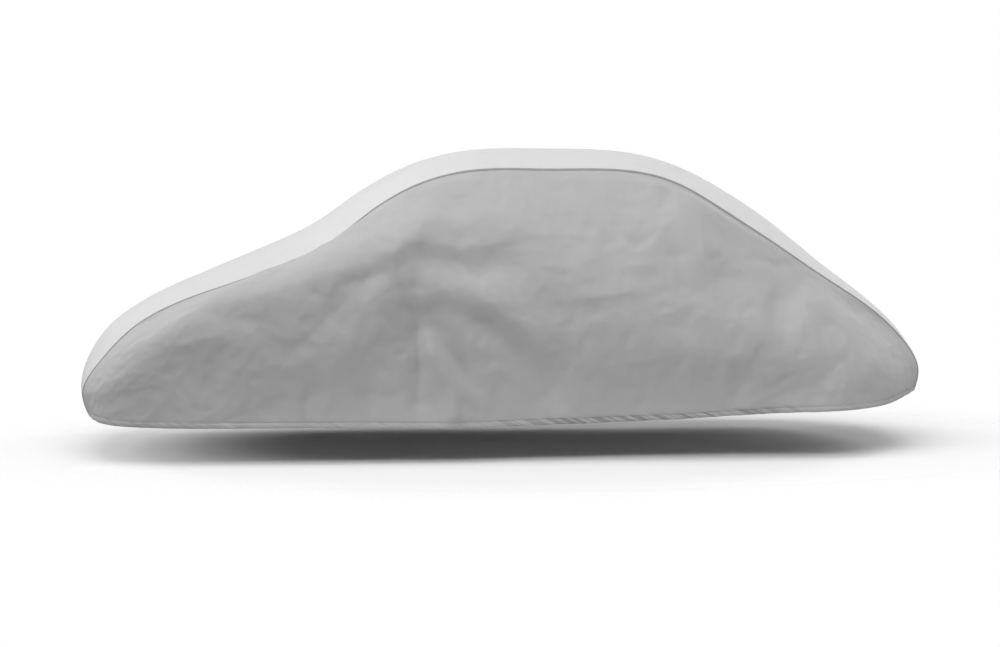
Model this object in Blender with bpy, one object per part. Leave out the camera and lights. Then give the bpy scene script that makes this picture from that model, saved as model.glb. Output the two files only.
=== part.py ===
"""A fitted car cover, in the shape in which it hangs when it is in use.

It is sewn from five pieces: a pale strip that runs over the middle from the front hem to the rear hem,
a grey side panel on each side, and a narrow grey binding over each of the two seams. The hems are
turned edges of the strip and the panels.

+Z is up and the front is at -X. The origin lies on the inner face of the cloth at the cover's highest
point. The tables give heights above the ground and half-widths from the middle plane.
"""
import bpy
import numpy as np

# ---------------------------------------------------------------- driving dimensions, metres
TOP_HEIGHT = 1.418           # outer face of the cloth at its highest point, above the ground
CLOTH = 0.002                # thickness of the non-woven cloth
HEM = 0.0035                 # thickness of the turned hem
HEM_DEPTH = 0.027            # height of the turned hem
BINDING_WIDTH = 0.010
BINDING_PROUD = 0.0005       # how far the binding stands over the cloth, outside and inside
BINDING_ROUND = 0.001        # how far its upper corners are drawn in
GAP = 0.0003                 # kept between neighbouring pieces

# ---------------------------------------------------------------- mesh density
COLUMNS = 44                 # cells of a side panel between its nose corner and its tail corner
ROWS = 13                    # cells of a side panel from the seam down to the hem's stitch line
STRIP_CELLS = 8              # cells across the centre strip

# The seam between strip and side panel, from the front hem over the top to the rear hem:
# x, half-width, height, and how far the middle of the strip rises over the seam at right angles.
SEAM = (
    (-2.150, 0.435, 0.195, 0.030),
    (-2.179, 0.445, 0.300, 0.038),
    (-2.105, 0.455, 0.437, 0.077),
    (-1.950, 0.460, 0.597, 0.077),
    (-1.730, 0.460, 0.718, 0.072),
    (-1.500, 0.460, 0.799, 0.086),
    (-1.270, 0.460, 0.883, 0.099),
    (-1.080, 0.460, 0.968, 0.104),
    (-0.890, 0.460, 1.109, 0.096),
    (-0.680, 0.460, 1.235, 0.090),
    (-0.430, 0.460, 1.305, 0.096),
    (-0.050, 0.460, 1.313, 0.103),
    (0.270, 0.460, 1.310, 0.098),
    (0.500, 0.460, 1.265, 0.101),
    (0.740, 0.460, 1.137, 0.117),
    (0.980, 0.455, 0.985, 0.114),
    (1.250, 0.440, 0.807, 0.084),
    (1.500, 0.415, 0.641, 0.063),
    (1.640, 0.395, 0.505, 0.058),
    (1.712, 0.380, 0.370, 0.050),
    (1.697, 0.365, 0.270, 0.045),
)
EDGE_ROWS = 3                # seam rows at each end that run down the nose and the tail

# Sections of a side panel, one for each seam row between the two corners, from front to rear.
# Each gives three points as x, half-width and height: shoulder, belly and hem.
SECTIONS = (
    ((-1.945, 0.630, 0.530), (-2.040, 0.655, 0.335), (-2.065, 0.630, 0.180)),
    ((-1.640, 0.698, 0.700), (-1.810, 0.728, 0.420), (-1.845, 0.722, 0.170)),
    ((-1.380, 0.702, 0.775), (-1.500, 0.750, 0.500), (-1.510, 0.752, 0.168)),
    ((-1.130, 0.708, 0.842), (-1.180, 0.758, 0.560), (-1.190, 0.752, 0.166)),
    ((-0.920, 0.708, 0.895), (-0.900, 0.760, 0.600), (-0.905, 0.752, 0.163)),
    ((-0.680, 0.698, 0.950), (-0.660, 0.761, 0.620), (-0.660, 0.748, 0.160)),
    ((-0.430, 0.686, 0.960), (-0.400, 0.762, 0.630), (-0.400, 0.737, 0.161)),
    ((-0.050, 0.674, 0.965), (-0.030, 0.763, 0.630), (-0.030, 0.706, 0.168)),
    ((0.280, 0.660, 0.955), (0.310, 0.765, 0.620), (0.310, 0.690, 0.177)),
    ((0.530, 0.650, 0.925), (0.570, 0.769, 0.600), (0.570, 0.690, 0.188)),
    ((0.780, 0.632, 0.845), (0.830, 0.772, 0.560), (0.830, 0.708, 0.202)),
    ((1.040, 0.620, 0.735), (1.100, 0.752, 0.500), (1.095, 0.748, 0.213)),
    ((1.330, 0.575, 0.600), (1.410, 0.675, 0.420), (1.405, 0.698, 0.228)),
)

# Main folds of each panel, seen square to the side: x and height of one end, x and height of the
# other end, half-width, and how far the ridge stands out. A trough has a negative height.
LEFT_FOLDS = (
    (-0.80, 0.93, -0.74, 0.93, 0.070, 0.016),
    (-0.77, 0.94, -1.60, 0.71, 0.085, 0.016),
    (-0.82, 0.84, -0.86, 0.52, 0.060, 0.013),
    (-0.75, 0.80, -0.68, 0.28, 0.055, -0.020),
    (-0.58, 0.64, -0.47, 0.29, 0.055, 0.020),
    (-0.50, 0.68, -0.36, 0.30, 0.048, -0.012),
    (-0.72, 0.83, -0.40, 0.75, 0.065, 0.011),
    (-0.40, 0.75, -0.02, 0.28, 0.065, 0.012),
    (-0.42, 0.65, -0.14, 0.35, 0.050, -0.011),
    (-0.70, 0.98, 0.25, 1.04, 0.060, 0.010),
    (-0.70, 0.92, 0.15, 0.89, 0.055, -0.010),
    (-0.75, 1.05, -0.25, 1.19, 0.085, 0.013),
    (-0.08, 0.735, 0.42, 0.76, 0.045, 0.008),
    (0.47, 1.10, 0.22, 0.80, 0.075, 0.007),
    (0.46, 1.20, 0.68, 0.78, 0.140, 0.020),
    (0.93, 0.58, 1.00, 0.80, 0.060, -0.013),
    (1.11, 0.76, 1.03, 0.56, 0.075, 0.009),
    (1.32, 0.52, 0.90, 0.28, 0.065, -0.010),
)
RIGHT_FOLDS = (
    (-0.80, 0.93, -0.74, 0.93, 0.070, 0.016),
    (-0.77, 0.93, -1.52, 0.74, 0.060, 0.010),
    (-0.86, 0.82, -1.20, 0.32, 0.085, 0.012),
    (-0.78, 0.84, -0.88, 0.24, 0.050, -0.011),
    (-0.72, 0.82, -0.74, 0.24, 0.055, 0.011),
    (-0.66, 0.78, -0.46, 0.28, 0.055, -0.010),
    (-0.70, 0.88, -0.20, 0.60, 0.075, 0.014),
    (-0.20, 0.60, 0.10, 0.26, 0.080, 0.011),
    (-0.66, 0.99, 0.36, 1.00, 0.060, 0.009),
    (0.10, 0.82, 0.56, 0.70, 0.055, -0.008),
    (0.66, 0.98, 0.80, 0.62, 0.070, 0.008),
    (1.26, 0.62, 0.90, 0.32, 0.070, -0.011),
)
FOLD_FADE = 0.12             # a fold dies out over this share of the panel next to its seam
END_FADE = 0.10              # and over this share of the panel's length at the nose and the tail

MATERIALS = {                # colour, roughness
    "pale_cloth": ((0.78, 0.78, 0.78, 1.0), 0.80),
    "grey_cloth": ((0.36, 0.36, 0.36, 1.0), 0.85),
    "dark_tape": ((0.24, 0.24, 0.24, 1.0), 0.80),
}
OUTWARD = {"left": -1.0, "right": 1.0}      # the sides' directions along Y


# ---------------------------------------------------------------- curves and grids
def unit(vectors):
    return vectors / np.linalg.norm(vectors, axis=-1, keepdims=True)


def fade(share):
    """1 at a share of 0, falling smoothly to 0 at a share of 1 and beyond."""
    share = np.clip(share, 0.0, 1.0)
    return 1.0 - share * share * (3.0 - 2.0 * share)


def spline(knots, points, places):
    """Natural cubic spline that passes each point at its knot, read at the given places."""
    points = np.asarray(points, float)
    steps = np.diff(knots)
    slopes = np.diff(points, axis=0) / steps[:, None]
    matrix = np.eye(len(knots))
    bends = np.zeros_like(points)
    for i in range(1, len(knots) - 1):
        matrix[i, i - 1:i + 2] = (steps[i - 1], 2.0 * (steps[i - 1] + steps[i]), steps[i])
        bends[i] = 6.0 * (slopes[i] - slopes[i - 1])
    bends = np.linalg.solve(matrix, bends)
    cell = np.clip(np.searchsorted(knots, places) - 1, 0, len(steps) - 1)
    step = steps[cell][:, None]
    high = (places - knots[cell])[:, None]
    low = step - high
    cubic = (bends[cell] * low ** 3 + bends[cell + 1] * high ** 3) / (6.0 * step)
    start = points[cell] / step - bends[cell] * step / 6.0
    end = points[cell + 1] / step - bends[cell + 1] * step / 6.0
    return cubic + start * low + end * high


def knots_of(lines):
    """Knots from 0 to 1 for lines of as many points each, spaced as the points are on average."""
    lines = np.asarray(lines, float)
    steps = np.linalg.norm(np.diff(lines, axis=1), axis=2).sum(axis=0)
    knots = np.concatenate(([0.0], np.cumsum(steps)))
    return knots / knots[-1]


def grid_normals(grid):
    """Unit normals of a grid of points, averaged from the faces that meet at each point."""
    faces = np.cross(grid[1:, 1:] - grid[:-1, :-1], grid[:-1, 1:] - grid[1:, :-1])
    normals = np.zeros_like(grid)
    for i in (0, 1):
        for j in (0, 1):
            normals[i:i + len(faces), j:j + faces.shape[1]] += faces
    return unit(normals)


# ---------------------------------------------------------------- the right half of the surface
def shares_down(length):
    """Shares of a section's length from the seam down, the last cell being the turned hem."""
    stitch_line = 1.0 - HEM_DEPTH / length
    return np.append(np.linspace(0.0, stitch_line, ROWS + 1), 1.0)


def line_length(points):
    return np.linalg.norm(np.diff(points, axis=0), axis=1).sum()


def seam_line():
    """The seam's points from front hem to rear hem, and the strip's rise at each."""
    table = np.array(SEAM)
    knots = knots_of([table[:, :3]])
    nose, tail = knots[EDGE_ROWS], knots[-1 - EDGE_ROWS]
    nose_length = line_length(table[:EDGE_ROWS + 1, :3])
    tail_length = line_length(table[-1 - EDGE_ROWS:, :3])
    over = np.linspace(nose, tail, COLUMNS + 1)
    places = np.concatenate((
        nose * (1.0 - shares_down(nose_length)[::-1]),
        over[1:-1],
        tail + (1.0 - tail) * shares_down(tail_length),
    ))
    line = spline(knots, table, places)
    return line[:, :3], line[:, 3]


def panel_sections():
    """Sections of the side panel as four points each, with the seam's ends as first and last."""
    seam = np.array(SEAM)[:, :3]
    nose = seam[EDGE_ROWS::-1]
    tail = seam[-1 - EDGE_ROWS:]
    tops = seam[EDGE_ROWS + 1:-1 - EDGE_ROWS]
    between = [np.vstack((top, row)) for top, row in zip(tops, SECTIONS)]
    return np.array([nose, *between, tail])


def side_surface(edge):
    """Grid of the side panel, whose nose, seam and tail edges follow the given line."""
    sections = panel_sections()
    along = knots_of(sections.transpose(1, 0, 2))
    across = knots_of(sections)
    shares = np.linspace(0.0, 1.0, COLUMNS + 1)
    lines = np.array([spline(along, sections[:, i], shares) for i in range(sections.shape[1])])
    grid = np.array([spline(across, points, shares_down(line_length(points)))
                     for points in lines.transpose(1, 0, 2)])
    rows = grid.shape[1]
    nose = edge[:rows][::-1] - grid[0]
    tail = edge[-rows:] - grid[-1]
    top = edge[rows - 1:len(edge) - rows + 1] - grid[:, 0]
    by_nose = fade(shares / END_FADE)[:, None, None]
    by_tail = fade((1.0 - shares) / END_FADE)[:, None, None]
    by_top = fade(np.linspace(0.0, 1.0, rows) / FOLD_FADE)[None, :, None]
    grid = grid + by_nose * nose + by_tail * tail + by_top * top[:, None]
    return grid - by_top * (by_nose * top[0] + by_tail * top[-1])


def seam_frames(seam, rise):
    """Along the seam: the strip's middle line, the way across the seam, and the way outward."""
    tangent = unit(np.gradient(seam, axis=0))
    flat = np.hypot(tangent[:, 0], tangent[:, 2])
    middle = seam * (1.0, 0.0, 1.0)
    middle[:, 0] -= rise * tangent[:, 2] / flat
    middle[:, 2] += rise * tangent[:, 0] / flat
    grid = side_surface(seam)
    inner = np.concatenate((grid[1, :0:-1], grid[1:2, 1], grid[1:-1, 1], grid[-2:-1, 1],
                            grid[-2, 1:]))
    from_strip = (seam - middle) * (2.0, 1.0, 2.0)
    across = unit(from_strip) + unit(inner - seam)
    for _ in range(4):
        across[1:-1] = (across[:-2] + 2.0 * across[1:-1] + across[2:]) / 4.0
    across -= tangent * np.sum(across * tangent, axis=1, keepdims=True)
    across = unit(across)
    return middle, across, np.cross(tangent, across)


def fold_heights(grid, folds):
    """How far the folds push each point of a grid outward."""
    side_view = np.stack((grid[..., 0], grid[..., 2]), axis=-1)
    total = np.zeros(grid.shape[:2])
    for x0, z0, x1, z1, half_width, height in folds:
        start = np.array((x0, z0))
        run = np.array((x1, z1)) - start
        share = np.clip((side_view - start) @ run / (run @ run), 0.0, 1.0)
        gap = np.linalg.norm(side_view - start - share[..., None] * run, axis=-1)
        total += height * np.exp(-(gap / half_width) ** 2)
    return total


# ---------------------------------------------------------------- building the pieces
def add_piece(name, vertices, faces, material):
    """A named object in the model's frame, from points whose heights are above the ground."""
    mesh = bpy.data.meshes.new(name)
    origin_height = TOP_HEIGHT - CLOTH
    mesh.from_pydata([(x, y, z - origin_height) for x, y, z in vertices], [], faces)
    mesh.materials.append(material)
    mesh.shade_smooth()
    mesh.set_sharp_from_angle(angle=np.radians(40.0))
    piece = bpy.data.objects.new(name, mesh)
    bpy.context.collection.objects.link(piece)
    return piece


def mirrored(vertices, faces, outward):
    """The same shape for the side that outward names; it is modelled on the right-hand side."""
    if outward > 0.0:
        return vertices, faces
    return vertices * (1.0, -1.0, 1.0), [face[::-1] for face in faces]


def closed_sheet(outer, inner):
    """Vertices and faces of the solid between two grids of points.

    Each cell is cut along its shorter diagonal, the same one in both layers, so that the sheet keeps its
    thickness where a cell is twisted.
    """
    columns, rows = outer.shape[:2]
    layer = columns * rows
    points = outer.reshape(-1, 3)
    index = np.arange(layer).reshape(columns, rows)
    faces = []
    for i in range(columns - 1):
        for j in range(rows - 1):
            cell = [int(k) for k in (index[i, j], index[i + 1, j], index[i + 1, j + 1], index[i, j + 1])]
            first, second = np.linalg.norm(points[cell[:2]] - points[cell[2:]], axis=1)
            a, b, c, d = cell if first <= second else cell[1:] + cell[:1]
            faces += [[a, b, c], [a, c, d]]
            faces += [[c + layer, b + layer, a + layer], [d + layer, c + layer, a + layer]]
    rim = [*index[:-1, 0], *index[-1, :-1], *index[:0:-1, -1], *index[0, :0:-1]]
    for here, after in zip(rim, rim[1:] + rim[:1]):
        faces.append([int(after), int(here), int(here) + layer, int(after) + layer])
    return np.concatenate((outer.reshape(-1, 3), inner.reshape(-1, 3))), faces


def side_panel(side, folds, seam, across, outward, material):
    """One grey side panel with its folds, from the seam's edge down to the turned hem."""
    edge_step = BINDING_WIDTH / 2.0 + GAP
    grid = side_surface(seam + across * edge_step)
    shares = np.linspace(0.0, 1.0, grid.shape[0])
    rows = np.linspace(0.0, 1.0, grid.shape[1])
    ends = (1.0 - fade(shares / END_FADE)) * (1.0 - fade((1.0 - shares) / END_FADE))
    strength = ends[:, None] * (1.0 - fade(rows / FOLD_FADE))[None, :]
    height = fold_heights(grid, folds) * strength
    grid = grid + grid_normals(grid) * height[..., None]
    normals = grid_normals(grid)
    count = grid.shape[1]
    normals[0] = outward[:count][::-1]
    normals[-1] = outward[-count:]
    normals[:, 0] = outward[count - 1:len(outward) - count + 1]
    thickness = np.full(count, CLOTH)
    thickness[-2:] = HEM
    shape = closed_sheet(grid, grid - normals * thickness[None, :, None])
    add_piece(f"side_panel_{side}", *mirrored(*shape, OUTWARD[side]), material)


def top_panel(seam, middle, across, outward, material):
    """The pale strip over the middle, rounded from seam to seam."""
    edge = seam - across * (BINDING_WIDTH / 2.0 + GAP)
    places = np.linspace(-1.0, 1.0, STRIP_CELLS + 1)
    drop = (places ** 2)[None, :, None]
    grid = middle[:, None] + (edge - middle)[:, None] * drop
    grid[:, :, 1] = edge[:, 1][:, None] * places[None, :]
    normals = grid_normals(grid)
    normals[:, -1] = outward
    normals[:, 0] = outward * (1.0, -1.0, 1.0)
    thickness = np.full(len(seam), CLOTH)
    thickness[[0, 1, -2, -1]] = HEM
    shape = closed_sheet(grid, grid - normals * thickness[:, None, None])
    add_piece("top_panel", *shape, material)


def seam_binding(side, seam, across, outward, material):
    """The tape over one seam: a flat section with softened upper corners, swept along it."""
    half = BINDING_WIDTH / 2.0
    bottom = -CLOTH - BINDING_PROUD
    section = (
        (-half, bottom), (half, bottom), (half, 0.0),
        (half - BINDING_ROUND, BINDING_PROUD), (BINDING_ROUND - half, BINDING_PROUD), (-half, 0.0),
    )
    rings = np.stack([seam + across * a + outward * b for a, b in section], axis=1)
    size = len(section)
    faces = []
    for i in range(len(seam) - 1):
        for j in range(size):
            after = (j + 1) % size
            faces.append([i * size + j, i * size + after, (i + 1) * size + after, (i + 1) * size + j])
    faces.append(list(range(size))[::-1])
    faces.append([(len(seam) - 1) * size + j for j in range(size)])
    shape = mirrored(rings.reshape(-1, 3), faces, OUTWARD[side])
    add_piece(f"seam_binding_{side}", *shape, material)


def make_material(name):
    colour, roughness = MATERIALS[name]
    material = bpy.data.materials.new(name)
    material.use_nodes = True
    shader = material.node_tree.nodes["Principled BSDF"]
    shader.inputs["Base Color"].default_value = colour
    shader.inputs["Roughness"].default_value = roughness
    shader.inputs["Metallic"].default_value = 0.0
    return material


def main():
    for old in list(bpy.data.objects):
        bpy.data.objects.remove(old, do_unlink=True)
    pale, grey, dark = (make_material(name) for name in MATERIALS)
    seam, rise = seam_line()
    middle, across, outward = seam_frames(seam, rise)
    top_panel(seam, middle, across, outward, pale)
    for side, folds in (("left", LEFT_FOLDS), ("right", RIGHT_FOLDS)):
        side_panel(side, folds, seam, across, outward, grey)
        seam_binding(side, seam, across, outward, dark)


main()
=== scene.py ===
"""Looks of a fitted car cover: fine cloth panels with their folds, bindings, stitching, light and camera.

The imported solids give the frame. Each cloth solid is replaced by a fine sheet with folds, crumples and hem
gathers, and each tape by a finer one, worked out from the same seam and sections as the solids. Heights in
the tables are above the ground, half-widths from the middle plane, and all lengths are in metres.
"""
import math

import bpy
import numpy as np
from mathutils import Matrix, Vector


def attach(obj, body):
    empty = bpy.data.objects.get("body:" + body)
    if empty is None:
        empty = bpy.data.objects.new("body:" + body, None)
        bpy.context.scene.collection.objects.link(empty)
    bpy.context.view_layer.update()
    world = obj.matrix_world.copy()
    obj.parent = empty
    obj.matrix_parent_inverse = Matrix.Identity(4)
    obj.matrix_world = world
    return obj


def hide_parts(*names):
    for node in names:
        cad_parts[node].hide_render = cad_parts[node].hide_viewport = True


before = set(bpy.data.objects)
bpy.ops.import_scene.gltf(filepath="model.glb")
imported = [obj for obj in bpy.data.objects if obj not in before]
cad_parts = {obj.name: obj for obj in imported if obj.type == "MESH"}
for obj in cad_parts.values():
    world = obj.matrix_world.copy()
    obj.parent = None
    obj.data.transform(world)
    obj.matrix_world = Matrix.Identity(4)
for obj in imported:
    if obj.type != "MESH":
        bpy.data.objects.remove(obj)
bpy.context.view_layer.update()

# ---------------------------------------------------------------- driving dimensions, as in the solids
ORIGIN_HEIGHT = 1.416        # height above the ground of the frame's origin
CLOTH = 0.002                # thickness of the cloth
HEM = 0.0035                 # thickness of the turned hem
HEM_DEPTH = 0.027            # from the hem's edge up to its stitch line
BINDING_WIDTH = 0.010        # width of the tape's core, between the edges of the two cloths
GAP = 0.0003                 # between that core and either cloth
OUTWARD = {"left": -1.0, "right": 1.0}

# ---------------------------------------------------------------- mesh density
PANEL_COLUMNS = 420          # cells along the seam between the two corners
PANEL_ROWS = 96              # cells from the seam down to the hem's stitch line
STRIP_CELLS = 76             # cells across the centre strip
PATH_POINTS = 60             # points along the path of a fold
# Distances from the hem's edge at which the rows of the turned hem lie, below the stitch line's row.
HEM_STEPS = (0.0250, 0.0225, 0.0185, 0.0140, 0.0095, 0.0055, 0.0028, 0.0012, 0.0004, 0.0)

# The seam between strip and side panel, from the front hem over the top to the rear hem:
# x, half-width, height, and how far the middle of the strip rises over the seam at right angles.
SEAM = (
    (-2.150, 0.435, 0.195, 0.030),
    (-2.179, 0.445, 0.300, 0.038),
    (-2.105, 0.455, 0.437, 0.077),
    (-1.950, 0.460, 0.597, 0.077),
    (-1.730, 0.460, 0.718, 0.072),
    (-1.500, 0.460, 0.799, 0.086),
    (-1.270, 0.460, 0.883, 0.099),
    (-1.080, 0.460, 0.968, 0.104),
    (-0.890, 0.460, 1.109, 0.096),
    (-0.680, 0.460, 1.235, 0.090),
    (-0.430, 0.460, 1.305, 0.096),
    (-0.050, 0.460, 1.313, 0.103),
    (0.270, 0.460, 1.310, 0.098),
    (0.500, 0.460, 1.265, 0.101),
    (0.740, 0.460, 1.137, 0.117),
    (0.980, 0.455, 0.985, 0.114),
    (1.250, 0.440, 0.807, 0.084),
    (1.500, 0.415, 0.641, 0.063),
    (1.640, 0.395, 0.505, 0.058),
    (1.712, 0.380, 0.370, 0.050),
    (1.697, 0.365, 0.270, 0.045),
)
EDGE_ROWS = 3                # seam rows at each end that run down the nose and the tail

# Sections of a side panel, one for each seam row between the two corners, from front to rear.
# Each gives three points as x, half-width and height: shoulder, belly and hem.
SECTIONS = (
    ((-1.945, 0.630, 0.530), (-2.040, 0.655, 0.335), (-2.065, 0.630, 0.180)),
    ((-1.640, 0.698, 0.700), (-1.810, 0.728, 0.420), (-1.845, 0.722, 0.170)),
    ((-1.380, 0.702, 0.775), (-1.500, 0.750, 0.500), (-1.510, 0.752, 0.168)),
    ((-1.130, 0.708, 0.842), (-1.180, 0.758, 0.560), (-1.190, 0.752, 0.166)),
    ((-0.920, 0.708, 0.895), (-0.900, 0.760, 0.600), (-0.905, 0.752, 0.163)),
    ((-0.680, 0.698, 0.950), (-0.660, 0.761, 0.620), (-0.660, 0.748, 0.160)),
    ((-0.430, 0.686, 0.960), (-0.400, 0.762, 0.630), (-0.400, 0.737, 0.161)),
    ((-0.050, 0.674, 0.965), (-0.030, 0.763, 0.630), (-0.030, 0.706, 0.168)),
    ((0.280, 0.660, 0.955), (0.310, 0.765, 0.620), (0.310, 0.690, 0.177)),
    ((0.530, 0.650, 0.925), (0.570, 0.769, 0.600), (0.570, 0.690, 0.188)),
    ((0.780, 0.632, 0.845), (0.830, 0.772, 0.560), (0.830, 0.708, 0.202)),
    ((1.040, 0.620, 0.735), (1.100, 0.752, 0.500), (1.095, 0.748, 0.213)),
    ((1.330, 0.575, 0.600), (1.410, 0.675, 0.420), (1.405, 0.698, 0.228)),
)

# ---------------------------------------------------------------- folds
# Each row of a fold table: height of the ridge (a trough's is negative), half-width to its left and to
# its right as one walks along it, sharpness (2 is a round ridge, towards 1 a creased one), how much of the
# height is left at its start and at its end, and its path as x and height, square to the side.
TENT_POINT = (-0.77, 0.935)  # where the cloth stands out in a point on either side, as x and height
TENT_HEIGHT = 0.016          # how far it stands out there
TENT_WIDTH = 0.060
TENT_SHARPNESS = 1.3
FOLD_END = 0.35              # share of a fold's length over which its height changes at either end
FOLD_SIDES = 0.012           # distance over which a fold's width changes from left to right at its crest
FOLD_CREST = 0.004           # how far from its path a fold's crest is rounded

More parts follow.
